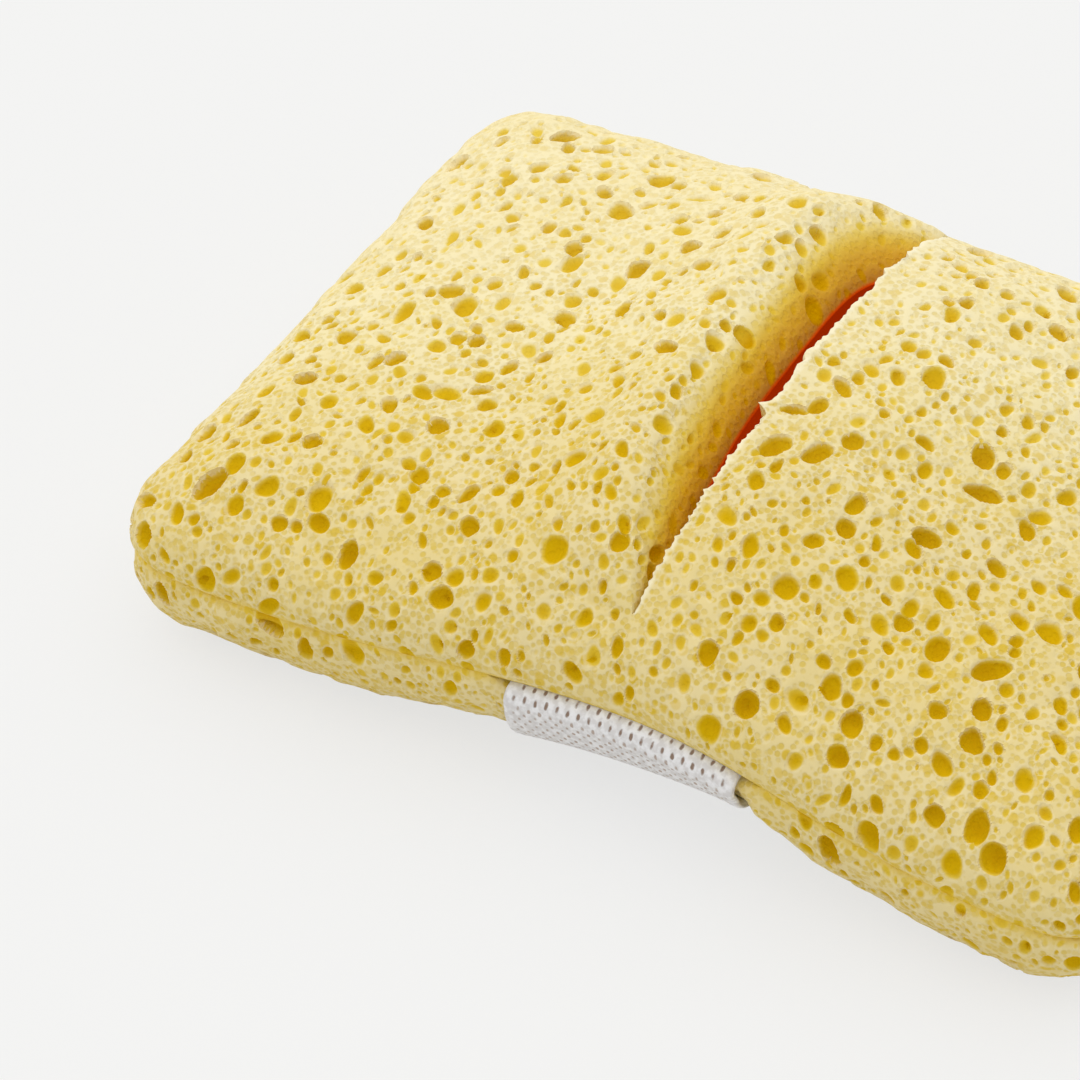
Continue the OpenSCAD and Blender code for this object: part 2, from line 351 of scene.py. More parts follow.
def push_back(x, y):
    """The left foam's new x. The cut's own edge goes back by the whole gap, and a point
    further left by less, falling with the square of its distance over GIVE."""
    return x - GAP * opening(slit_place(y)) * np.clip(1 - (SLIT_X - x) / GIVE, 0, 1) ** 2


def roll(x, y):
    """Height lost where the curled foam turns over into the cut, a parabola."""
    t = slit_place(y)
    edge = SLIT_X - GAP * opening(t)
    return ROLL_DROP * curled(t) * np.clip(1 - (edge - x) / ROLL, 0, 1) ** 2


def fray(y):
    """How far the right edge sticks out into the slit: a sum of short waves along it, and
    a tooth, which is a narrow bell."""
    rng = np.random.default_rng(5)
    wave = 2 * np.pi / rng.uniform(1.3, 5.0, 14)
    noise = np.sin(y[..., None] * wave + rng.uniform(0, 6.3, 14)).sum(-1) * 0.06
    tooth = TOOTH * bell(y - TOOTH_Y, TOOTH_REACH)
    return (noise + tooth) * np.clip((1 - np.abs(slit_place(y))) * 12, 0, 1)


print("slit", SLIT_BACK - SLIT_FRONT, "mm long")


# %% [markdown]
# ## Meshes from arrays
# A grid of vertex numbers gives its triangles by shifting the grid against itself. Two
# loops with different numbers of vertices are joined as a zip is: each loop's vertices
# are placed by their share of its length, and the next place in order says which side
# steps on.

# %% Triangles
def grid_faces(ids):
    """Two triangles for each square of a grid of vertex numbers."""
    a, b, c, d = ids[:-1, :-1], ids[1:, :-1], ids[1:, 1:], ids[:-1, 1:]
    halves = [np.stack(corners, -1).reshape(-1, 3) for corners in ((a, b, c), (a, c, d))]
    return np.concatenate(halves)


def ring_faces(ids):
    """The same for rings that close on themselves, one ring a row."""
    return grid_faces(np.concatenate([ids, ids[:, :1]], 1))


def zip_loops(p, q, points):
    """Triangles between two closed loops that start side by side and run the same way."""
    def share(loop):
        ring = points[np.append(loop, loop[0])]
        length = np.cumsum(np.linalg.norm(np.diff(ring, axis=0), axis=1))
        return length / length[-1]

    order = np.argsort(np.concatenate([share(p), share(q)]), kind="stable")
    on_p = order < len(p)
    i, j = np.cumsum(on_p), np.cumsum(~on_p)
    here_p, here_q = np.append(p, p[0]), np.append(q, q[0])
    step_p = np.stack([here_p[i - on_p], here_p[i], here_q[j - ~on_p]], -1)
    step_q = np.stack([here_p[i - on_p], here_q[j], here_q[j - ~on_p]], -1)
    return np.where(on_p[:, None], step_p, step_q)


def outline(inset, places, side):
    """Points of the outline at an inset, from places 0 to 1 by length along its right
    half (side 1) or left half (side -1), from the slit's line at the front round to the
    back."""
    turn = np.linspace(0, np.pi / 2, 200)
    norm = (np.cos(turn) ** POWER + np.sin(turn) ** POWER) ** (1 / POWER)
    core, size = HALF - CORNER, CORNER - inset
    corner = core + size * np.stack([np.cos(turn), np.sin(turn)], -1) / norm[:, None]
    front = (corner * [1, -1])[::-1]
    half = np.concatenate([front, corner]) * [side, 1]
    start = np.array([[SLIT_X, -HALF[1] + inset]])
    line = np.concatenate([start, half, start * [1, -1]])
    length = np.append(0, np.cumsum(np.linalg.norm(np.diff(line, axis=0), axis=1)))
    return np.stack([np.interp(places * length[-1], length, line[:, k]) for k in (0, 1)], -1)


def unit(v):
    """Vectors of length 1."""
    return v / np.maximum(np.linalg.norm(v, axis=-1, keepdims=True), 1e-12)


def crosses(points, faces):
    """Cross product of two sides of each triangle: it points outwards, and its length is
    twice the triangle's area."""
    a, b, c = (points[faces[:, k]] for k in range(3))
    return np.cross(b - a, c - a)


def normals(points, faces):
    """Outward direction at each vertex: the sum of its triangles' own, by area."""
    n = crosses(points, faces)
    total = [np.bincount(faces.ravel(), np.repeat(n[:, k], 3), len(points)) for k in range(3)]
    return unit(np.stack(total, -1))


# %% [markdown]
# ## Upper panel
# One grid covers the whole face, with a doubled column along the cut. In the rows that
# the slit crosses, the two columns part and become the edges of the cut. Beyond them
# they are the same vertices. The cut's walls run down from those edges to the pocket, and
# the pocket's roof and the sewn rim close the shape.

# %% Upper panel
SPACING = 0.33
FRAY_REACH, FRAY_LIFT, PAINTED_HIGHLIGHT_REACH = 0.8, 0.35, 0.6
SEAM_SHADE_DEPTH, SEAM_SHADE_REACH = 0.3, 1.2
WALL_RINGS, ROOF_RINGS = 37, 8


def spread(low, high):
    """Evenly spaced values, at the foam's spacing."""
    return np.linspace(low, high, max(2, round((high - low) / SPACING) + 1))


def seam_shade_depth(z):
    """Painted shade in the seam's crease: the skin near the seam gets a little depth, which the
    material turns darker yellow; a bell over the height from the seam.
    """
    return SEAM_SHADE_DEPTH * bell(z, SEAM_SHADE_REACH)


def upper_shape():
    """Points, triangles and depth into the foam: 0 on the skin, rising down the slit's
    walls to 1 in the pocket, and below 0 along the right edge of the slit, which the
    material turns pale as a painted highlight."""
    profile = edge_profile(UPPER, CORNER)
    reach = HALF - CORNER + profile[0][-1]
    left, right = spread(-reach[0], SLIT_X), spread(SLIT_X, reach[0])
    b = spread(-reach[1], reach[1])
    ga, gb = np.meshgrid(np.append(left, right), b, indexing="ij")
    x, y, z = face_points(ga, gb, profile)
    cut = len(left)
    x[:cut] = push_back(x[:cut], y[:cut])
    near = bell(x[cut:] - SLIT_X, FRAY_REACH)
    x[cut:] -= fray(y[cut:]) * near
    z[cut:] += FRAY_LIFT * np.abs(fray(y[cut:])) * near
    rise = curl(x[:cut], y[:cut]) - roll(x[:cut], y[:cut])
    z[:cut] += rise * np.clip((z[:cut] - LIP) / 3, 0, 1)
    ids = np.arange(x.size).reshape(x.shape)
    inside = np.flatnonzero(np.abs((y[cut] - SLIT_MIDDLE) / SLIT_HALF) < 1)
    first, last = inside[0] - 1, inside[-1] + 1
    whole = np.ones(len(b), bool)
    whole[inside] = False
    ids[cut, whole] = ids[cut - 1, whole]
    skin = [grid_faces(ids[:cut]), grid_faces(ids[cut:])]
    points = [np.stack([x, y, z], -1).reshape(-1, 3)]
    # The seam's crease gets painted shade from this depth.
    depth = seam_shade_depth(z)
    # Painted highlight: depth below 0 makes the slit's right edge pale.
    depth[cut:, first + 1:last] -= bell(ga[cut:, first + 1:last] - SLIT_X, PAINTED_HIGHLIGHT_REACH)
    depth = [depth.ravel()]
    total = x.size

    # The mouth of the slit, up its right edge and back down its left one.
    mouth = np.concatenate([ids[cut, first:last + 1], ids[cut - 1, last - 1:first:-1]])
    t = slit_place(points[0][mouth, 1])
    side = np.where(np.arange(len(mouth)) <= last - first, 1, -1)
    throat_y = SLIT_MIDDLE + SLIT_HALF * (1 - TAPER) * t
    throat_x = SLIT_X - np.where(side < 0, THROAT_GAP * opening(t) ** THROAT_POWER, 0)
    roof_z = (UPPER - FOAM) * pocket_dome(throat_x, throat_y)
    roof_z += np.where(side < 0, curl(throat_x, throat_y), 0)
    throat = np.stack([throat_x, throat_y, roof_z], -1)
    share = np.linspace(0, 1, WALL_RINGS + 1)[1:, None, None]
    top = points[0][mouth]
    wall = top * (1 - share) + throat * share
    plump = np.where(side < 0, PLUMP * curled(t), 0) * 4 * (share * (1 - share))[..., 0]
    wall_length = np.linalg.norm(top - throat, axis=1)
    wall[..., 0] += plump * (top[:, 2] - throat[:, 2]) / wall_length
    wall[..., 2] += plump * (throat[:, 0] - top[:, 0]) / wall_length
    rings = total + np.arange(wall[..., 0].size).reshape(wall.shape[:2])
    walls = ring_faces(np.concatenate([mouth[None], rings]))[:, ::-1]
    points.append(wall.reshape(-1, 3))
    # Painted highlight: the top of the cut's right wall gets depth below 0, so it turns pale.
    pale = np.where(side > 0, bell(share[..., 0] * 12, PAINTED_HIGHLIGHT_REACH), 0)
    depth.append((share[..., 0] - pale).ravel())
    total += wall[..., 0].size

    # The pocket's roof, from the throat of the slit out to the sewn rim.
    place = (t + 1) / 2
    rim = np.where(side[:, None] > 0, outline(RIM, place, 1), outline(RIM, place, -1))
    share = np.linspace(0, 1, ROOF_RINGS + 1)[1:, None, None]
    plan = throat[None, :, :2] * (1 - share) + rim * share
    lift = np.where(side < 0, curl(plan[..., 0], plan[..., 1]), 0) * (1 - share[..., 0]) ** 0.5
    height = (UPPER - FOAM) * pocket_dome(plan[..., 0], plan[..., 1]) + lift
    roof = np.concatenate([plan, height[..., None]], -1)
    roof_ids = total + np.arange(roof[..., 0].size).reshape(roof.shape[:2])
    ceiling = ring_faces(np.concatenate([rings[-1:], roof_ids]))[:, ::-1]
    points.append(roof.reshape(-1, 3))
    depth.append(np.ones(roof[..., 0].size))

    # The outer edge of the grid, from the slit's line at the front round and back to it.
    edge = np.concatenate([ids[cut:, 0], ids[-1, 1:], ids[-2:cut - 1:-1, -1], ids[cut - 2::-1, -1],
                           ids[0, -2::-1], ids[1:cut - 1, 0]])
    points = np.concatenate(points)
    hidden = np.concatenate([ceiling, zip_loops(edge, roof_ids[-1], points)[:, ::-1]])
    return points, np.concatenate([*skin, walls]), hidden, np.concatenate(depth)


upper_flat, upper_skin, upper_hidden, upper_depth = upper_shape()
print("upper panel", len(upper_flat), "points", len(upper_skin) + len(upper_hidden), "triangles")

# %% [markdown]
# ## Lower panel
# The lower panel has no cut. Its outer face is one grid again, facing down, and the
# floor of the pocket is a set of rings that close on one middle point. Its rim is
# hollowed at both sides of the waist, where the ends of the strap are sewn in.

# %% Lower panel
RIM_POINTS, FLOOR_RINGS = 160, 14


def recess(x):
    """Depth of the hollow for the strap's sewn end, ramping out beside the strap."""
    return (STRAP_THICK + CLEAR) * beside_strap(x, 4)


def press(x, z):
    """Depth to which the tight strap sinks into the lower edge: most at its right edge,
    fading out beside the strap and towards the seam."""
    lean = 0.1 + 0.9 * np.clip((x - STRAP_X) / STRAP + 0.5, 0, 1)
    return PRESS * lean * beside_strap(x, 3) * np.clip((-z - LIP) / 3, 0, 1)


def lower_shape():
    """Points, triangles and depth (0 on the skin, 1 in the pocket)."""
    profile = edge_profile(LOWER, LOWER_ROUND)
    reach = HALF - CORNER + profile[0][-1]
    ga, gb = np.meshgrid(spread(-reach[0], reach[0]), spread(-reach[1], reach[1]), indexing="ij")
    x, y, z = face_points(ga, gb, profile)
    lip = np.clip(1 - z / LIP, 0, 1) * recess(x)
    sunk = press(x, -z)
    across, down = 1 - inset_at(x, y) / LOWER_ROUND, (z - LIP) / (LOWER - LIP)
    y -= np.sign(y) * sunk * np.clip(across, 0, 1)
    z = palm_rise(x, y) * np.clip((z - LIP) / 3, 0, 1) - z - lip + sunk * np.clip(down, 0, 1)
    ids = np.arange(x.size).reshape(x.shape)
    points, total = [np.stack([x, y, z], -1).reshape(-1, 3)], x.size
    # The seam's crease gets painted shade from this depth.
    depth = [seam_shade_depth(z).ravel()]

    # Rings of the rim and the pocket's floor, each up the right side and down the left.
    place = np.linspace(0, 1, RIM_POINTS + 1)
    def ring(inset):
        return np.concatenate([outline(inset, place[:-1], 1), outline(inset, place[:0:-1], -1)])

    rim, wall = ring(GROOVE + TUCK), ring(RIM)
    share = np.linspace(0, 1, FLOOR_RINGS + 1)[:-1, None, None]
    plan = np.concatenate([rim[None], wall * (1 - share)])
    height = palm_rise(plan[..., 0], plan[..., 1])
    height -= (LOWER - FOAM) * pocket_dome(plan[..., 0], plan[..., 1])
    height[0] = -recess(rim[:, 0])
    height[1] = 0
    rings = total + np.arange(height.size).reshape(height.shape)
    points.append(np.concatenate([plan, height[..., None]], -1).reshape(-1, 3))
    points.append([[0, 0, palm_rise(0, 0) - (LOWER - FOAM)]])
    pole = total + height.size
    fan = np.stack([rings[-1], np.roll(rings[-1], -1), np.full(2 * RIM_POINTS, pole)], -1)
    depth.append(np.ones(height.size + 1))
    start = np.argmin(np.abs(x[:, 0] - SLIT_X))
    edge = np.concatenate([ids[start:, 0], ids[-1, 1:], ids[-2::-1, -1], ids[0, -2::-1],
                           ids[1:start, 0]])
    points = np.concatenate(points)
    hidden = [zip_loops(edge, rings[0], points), ring_faces(rings)[:, ::-1], fan]
    return points, grid_faces(ids)[:, ::-1], np.concatenate(hidden), np.concatenate(depth)


lower_flat, lower_skin, lower_hidden, lower_depth = lower_shape()
print("lower panel", len(lower_flat), "points", len(lower_skin) + len(lower_hidden), "triangles")

# %% [markdown]
# ## Pits
# Sponge foam is a froth of bubbles that set hard, and every pit in its skin is a bubble
# that was cut open. So a pit here is a ball, a little stretched, with its middle at or
# below the skin. Each vertex inside a ball slides inwards along its own normal until it
# reaches the ball's far side, which gives pits steep walls and cuts skin and slit walls
# alike. To find the vertices near each pit without a loop, the points are sorted into
# small cubes, and a pit looks only in the cubes around its own.

# %% Tools for pits
def ripple(points, wavelength, seed, waves=20):
    """Soft noise in space: a sum of sine waves in random directions, of about one
    wavelength. Mostly from -1 to 1."""
    rng = np.random.default_rng(seed)
    direction = unit(rng.normal(size=(waves, 3)))
    k = direction * 2 * np.pi / (wavelength * rng.uniform(0.7, 1.6, (waves, 1)))
    return np.sin(points @ k.T + rng.uniform(0, 2 * np.pi, waves)).sum(1) * math.sqrt(1.2 / waves)


def warp(points):
    """Points moved a little and softly, so that no pit comes out perfectly round."""
    far = np.stack([ripple(points, 7.0, 11 + k) for k in range(3)], -1)
    near = np.stack([ripple(points, 2.4, 21 + k) for k in range(3)], -1)
    return points + 0.22 * far + 0.07 * near


def pairs_near(points, centres, reach, cube=1.6):
    """Numbers of every point and centre that are nearer than the reach, and some more.
    Points are sorted by cube, so that a column of cubes is one run of the sorted list."""
    low = points.min(0) - 14
    cell, home = ((np.floor((v - low) / cube)).astype(np.int64) for v in (points, centres))
    size = cell.max(0) + 30
    key = (cell[:, 0] * size[1] + cell[:, 1]) * size[2] + cell[:, 2]
    order = np.argsort(key, kind="stable")
    key, span = key[order], np.ceil(reach / cube).astype(int)
    found_point, found_centre = [], []
    for k in np.unique(span):
        these = np.flatnonzero(span == k)
        dx, dy = (m.ravel() for m in np.meshgrid(np.arange(-k, k + 1), np.arange(-k, k + 1)))
        column = (home[these, None, 0] + dx) * size[1] + home[these, None, 1] + dy
        column = column * size[2] + home[these, None, 2]
        first = np.searchsorted(key, column - k).ravel()
        count = np.searchsorted(key, column + k, side="right").ravel() - first
        start = np.repeat(first - np.append(0, np.cumsum(count)[:-1]), count)
        found_point.append(order[start + np.arange(count.sum())])
        found_centre.append(np.repeat(np.repeat(these, len(dx)), count))
    return np.concatenate(found_point), np.concatenate(found_centre)


# %% Choosing the pits
TRIES, EDGE_POINTS = 8, 80
QUIET, QUIET_EDGE, QUIET_ENDS = 1.4, 0.6, 6
CHILD_TONE = 1.5


def pit_widths(area, rng):
    """Opening radii, widest first. Most pits are small: the values say how many pits on
    each square millimetre are wider than each diameter."""
    wider = [5.4, 4.6, 3.8, 2.6, 1.6, 1.1]
    count = [0.0003, 0.0015, 0.0055, 0.020, 0.054, 0.098]
    drawn = rng.uniform(0, count[-1], round(area * count[-1]))
    return np.sort(np.exp(np.interp(np.log(drawn + 1e-6), np.log(count), np.log(wider))) / 2)[::-1]


def pit_sites(points, faces, outward, radii, rng):
    """A place on the mesh for each pit, spread by area. A pit that would lie across a
    wider one, the slit's right edge or the strap's seam at every try is left out. Gives
    places, directions and the radii kept."""
    chance = np.cumsum(np.linalg.norm(crosses(points, faces), axis=1))
    pick = faces[np.searchsorted(chance, rng.uniform(0, chance[-1], len(radii) * TRIES))]
    blend = rng.dirichlet((1, 1, 1), len(pick))[..., None]
    spots, facing = (points[pick] * blend).sum(1), unit((outward[pick] * blend).sum(1))
    # Quiet points stand where no pit may lie; those at the slit's ends keep more room.
    cut_y = np.linspace(SLIT_FRONT, SLIT_BACK, EDGE_POINTS)
    cut_z = LIP + (UPPER - LIP) * dome(inset_at(SLIT_X, cut_y) / CORNER)
    cut = np.column_stack([np.full(EDGE_POINTS, SLIT_X), cut_y, cut_z])
    along = STRAP_X + np.linspace(-STRAP / 2 - 4, STRAP / 2 + 4, 20)
    seams = [np.stack(np.broadcast_arrays(along, side * HALF[1], z), -1)
             for side in (-1, 1) for z in (-1.2, 0.8)]
    quiet = warp(bend(np.concatenate([cut, *seams])))
    kept = np.concatenate([quiet, np.empty((len(radii), 3))])
    keep_r = np.full(len(kept), QUIET)
    keep_r[QUIET_ENDS:EDGE_POINTS - QUIET_ENDS] = QUIET_EDGE
    chosen, n = [], len(quiet)
    for i, r in enumerate(radii):
        tries = np.arange(i * TRIES, (i + 1) * TRIES)
        gap = np.linalg.norm(spots[tries, None] - kept[None, :n], axis=2) - 0.93 * (r + keep_r[:n])
        free = np.flatnonzero((gap > 0.1).all(1))
        if len(free):
            chosen.append(tries[free[0]])
            kept[n], keep_r[n] = spots[chosen[-1]], r
            n += 1
    return spots[chosen], facing[chosen], keep_r[len(quiet):n]


def make_pits(points, faces, outward, seed):
    """All pits of a layer: their frames, their balls and a tone. Wider pits get smaller
    ones in their floor. A tone over CHILD_TONE marks those, and the higher it is, the
    deeper their yellow. The other pits' tones run from 0 to 1 and only say that they
    aren't in another's floor."""
    rng = np.random.default_rng(seed)
    area = np.linalg.norm(crosses(points, faces), axis=1).sum() / 2
    place, facing, width = pit_sites(points, faces, outward, pit_widths(area, rng), rng)
    fullness = np.clip(rng.random(len(width)) * 0.85 + 0.10 * width, 0, 1)
    deep = width * (0.28 + 0.72 * fullness)
    tone = np.clip(fullness + rng.normal(scale=0.12, size=len(width)), 0, 1)
    children = np.where(width > 1.2, rng.integers(-2, 2, len(width)).clip(0), 0)
    parent = np.repeat(np.arange(len(width)), children)
    across = unit(np.cross(facing, rng.normal(size=facing.shape)))
    child_width = width[parent] * rng.uniform(0.16, 0.36, len(parent))
    shift = np.zeros((len(parent), 3))
    for way in (across[parent], np.cross(facing[parent], across[parent])):
        shift += way * rng.uniform(-0.5, 0.5, (len(parent), 1)) * width[parent, None]
    place = np.concatenate([place, place[parent] + shift])
    facing = np.concatenate([facing, facing[parent]])
    width = np.concatenate([width, child_width])
    deep = np.concatenate([deep, child_width * rng.uniform(0.5, 0.9, len(parent))])
    tone = np.concatenate([tone, 2 + rng.random(len(parent))])
    long_way = unit(np.cross(facing, [0.93, 0.35, 0.0] + rng.normal(scale=0.35, size=facing.shape)))
    frame_rows = np.stack([long_way, np.cross(facing, long_way), facing], 1)
    stretch = np.exp(rng.normal(0.18, 0.08, len(width)))
    ball = (deep + width ** 2 / deep) / 2
    below = (deep - width ** 2 / deep) / 2
    return dict(place=place, rows=frame_rows, width=width, stretch=stretch, ball=ball,
                below=below, tone=tone, reach=np.maximum(width, ball) * stretch * 1.25)


def in_pit(vectors, pits, k, move=0.0):
    """Vectors in the frame of pit k, where the pit is a ball of radius 1."""
    local = np.einsum("nij,nj->ni", pits["rows"][k], vectors)
    local[:, 0] /= pits["stretch"][k]
    local[:, 1] *= pits["stretch"][k]
    local[:, 2] += move
    return local / pits["ball"][k, None]


def sink_into(points, outward, pits):
    """How far each vertex slides inwards: from where it is to the far side of the ball,
    which is the larger root of a quadratic. A pit in another's floor adds to it."""
    p, k = pairs_near(points, pits["place"], pits["reach"])
    facing = (outward[p] * pits["rows"][k, 2]).sum(1) > -0.1
    p, k = p[facing], k[facing]
    q = in_pit(points[p] - pits["place"][k], pits, k, pits["below"][k])
    m = in_pit(-outward[p], pits, k)
    qm, mm, inside = (q * m).sum(1), (m * m).sum(1), 1 - (q * q).sum(1)
    slide = np.where(inside > 0, (np.sqrt(np.maximum(qm * qm + mm * inside, 0)) - qm) / mm, 0)
    wide, small = np.zeros(len(points)), np.zeros(len(points))
    child = pits["tone"][k] > CHILD_TONE
    np.maximum.at(wide, p[~child], slide[~child])
    np.maximum.at(small, p[child], slide[child])
    return wide + small


print("pits to try on 1000 square millimetres:", len(pit_widths(1000.0, np.random.default_rng(1))))


# %% [markdown]
# ## From arrays to foam pieces
# The full grid has far more triangles than the flat skin between pits needs. Blender's
# Decimate modifier takes them away there and keeps them at the rims. The sharp yellow of
# the pits isn't drawn by vertices, though. Each triangle remembers the pit it lies in,
# as its three corners' places in that pit's ball, and the material reads from that how
# far inside the rim each point is, however large the triangle is.

# %% Making a foam piece
BUDGET = 188000
SINK_AT, SINK_SHARE = [-1, -0.2, 0, 0.2, 0.7, 1], [0, 0.8, 1, 0.55, 0.55, 0]
NO_PIT = 9


def mesh_from(name, points, faces):
    """A mesh from an array of points in millimetres and one of triangles."""
    used = np.zeros(len(points), bool)
    used[faces] = True
    number = np.cumsum(used) - 1
    mesh = bpy.data.meshes.new(name)
    mesh.vertices.add(int(used.sum()))
    mesh.vertices.foreach_set("co", (points[used] / 1000).astype(np.float32).ravel())
    mesh.loops.add(faces.size)
    mesh.loops.foreach_set("vertex_index", number[faces].astype(np.int32).ravel())
    mesh.polygons.add(len(faces))
    mesh.polygons.foreach_set("loop_start", np.arange(0, faces.size, 3, dtype=np.int32))
    mesh.update(calc_edges=True)
    return mesh, used


def put(mesh, name, kind, domain, values):
    """A named attribute on a mesh, from an array."""
    field = {"FLOAT": "value", "FLOAT_VECTOR": "vector"}[kind]
    layer = mesh.attributes.new(name, kind, domain)
    layer.data.foreach_set(field, np.asarray(values, np.float32).ravel())


def places(mesh):
    """The vertices' attribute "place" as an array."""
    data = np.empty(len(mesh.vertices) * 3, np.float32)
    mesh.attributes["place"].data.foreach_get("vector", data)
    return data.reshape(-1, 3)


def owner_of(points, outward, pits):
    """The pit that each point lies in, or -1. The nearest ball wins, and a pit in
    another's floor wins inside its own rim."""
    p, k = pairs_near(points, pits["place"], pits["reach"] * 1.15)
    facing = (outward[p] * pits["rows"][k, 2]).sum(1) > 0
    p, k = p[facing], k[facing]
    s = np.linalg.norm(in_pit(points[p] - pits["place"][k], pits, k, pits["below"][k]), axis=1)
    child = pits["tone"][k] > CHILD_TONE
    s = np.where(child, np.where(s < 1.06, s - 2, 9), s)
    order = np.lexsort((s, p))
    p, k, s = p[order], k[order], s[order]
    best = np.append(True, p[1:] != p[:-1]) & (s < 1.4)
    owner = np.full(len(points), -1)
    owner[p[best]] = k[best]
    return owner


def foam_piece(name, flat, faces, skin, depth, seed):
    """A finished foam piece: lumps, pits, thinned triangles and the pits' attributes. Pits
    are shallower in the slit's walls, and fade out at its right edge and at the seam."""
    began = time.time()
    points = bend(flat)
    outward = normals(points, faces)
    soft = np.clip(1 - depth * 3, 0, 1)
    lumps = 0.3 * ripple(points, 16.0, seed) + 0.12 * ripple(points, 5.0, seed + 1)
    under_strap = beside_strap(flat[:, 0], 4) * (flat[:, 2] < 0)
    lumps = lumps * (1 - under_strap) - 0.1 * under_strap
    points = points + outward * (lumps * soft)[:, None]
    outward = normals(points, faces)
    warped = warp(points)
    pits = make_pits(warped, skin, outward, seed + 2)
    sink = sink_into(warped, outward, pits) * np.interp(depth, SINK_AT, SINK_SHARE)
    sink *= 1 - bell(flat[:, 2], 1.3) * (depth < SEAM_SHADE_DEPTH + 0.01)
    carved = points - outward * sink[:, None]
    carved[:, 2] = np.maximum(carved[:, 2], 0.0)
    mesh, used = mesh_from(name, carved, faces)
    put(mesh, "place", "FLOAT_VECTOR", "POINT", warped[used])
    put(mesh, "depth", "FLOAT", "POINT", depth[used])
    piece = bpy.data.objects.new(name, mesh)
    scene.collection.objects.link(piece)
    thin = piece.modifiers.new("thin", "DECIMATE")
    thin.ratio = min(1, BUDGET / len(faces))
    graph = bpy.context.evaluated_depsgraph_get()
    mesh = bpy.data.meshes.new_from_object(piece.evaluated_get(graph))
    piece.modifiers.clear()
    piece.data = mesh
    mesh.name = name

    place = places(mesh)
    corners = np.empty(len(mesh.loops), np.int32)
    mesh.loops.foreach_get("vertex_index", corners)
    corners = corners.reshape(-1, 3)
    middle = place[corners].mean(1)
    owner = owner_of(middle, unit(crosses(place, corners)), pits)
    none = owner < 0
    k = np.repeat(np.where(none, 0, owner), 3)
    local = in_pit(place[corners.ravel()] - pits["place"][k], pits, k, pits["below"][k])
    size = pits["width"][k]
    local *= (pits["ball"][k] / size)[:, None]
    local[:, 2] = pits["ball"][k] / size
    cup = np.stack([size, pits["below"][k] / size, pits["tone"][k]], -1)
    # A triangle in no pit gets values that put it far from any rim.
    local[np.repeat(none, 3)] = (2, 0, 0)
    cup[np.repeat(none, 3)] = (NO_PIT, 0, 0)
    put(mesh, "pit", "FLOAT_VECTOR", "CORNER", local)
    put(mesh, "cup", "FLOAT_VECTOR", "CORNER", cup)
    mesh.attributes.remove(mesh.attributes["place"])
    mesh.set_sharp_from_angle(angle=math.radians(50))
    print(name, len(pits["tone"]), "pits,", len(mesh.polygons), "triangles,",
          round(time.time() - began, 1), "s")
    return piece


upper = foam_piece("upper_foam", upper_flat, np.concatenate([upper_skin, upper_hidden]),
                   upper_skin, upper_depth, 100)
lower = foam_piece("lower_foam", lower_flat, np.concatenate([lower_skin, lower_hidden]),
                   lower_skin, lower_depth, 200)

# %% [markdown]
# ## Foam material
# Light that sinks into foam comes back yellower the deeper it went. So the colour follows
# the depth under the skin. A pit's two attributes give its ball in units of its own
# radius, and the ball's formula gives the depth at each point, whatever the triangles.
# The skin between the pits is a froth of cells about a millimetre wide with pale walls,
# too fine for the mesh, which Voronoi textures draw and emboss.

# %% Foam material
BIG_CELLS, SMALL_CELLS, CLOUDS = 460.0, 900.0, 60.0
POCKET_GLOW = 0.24


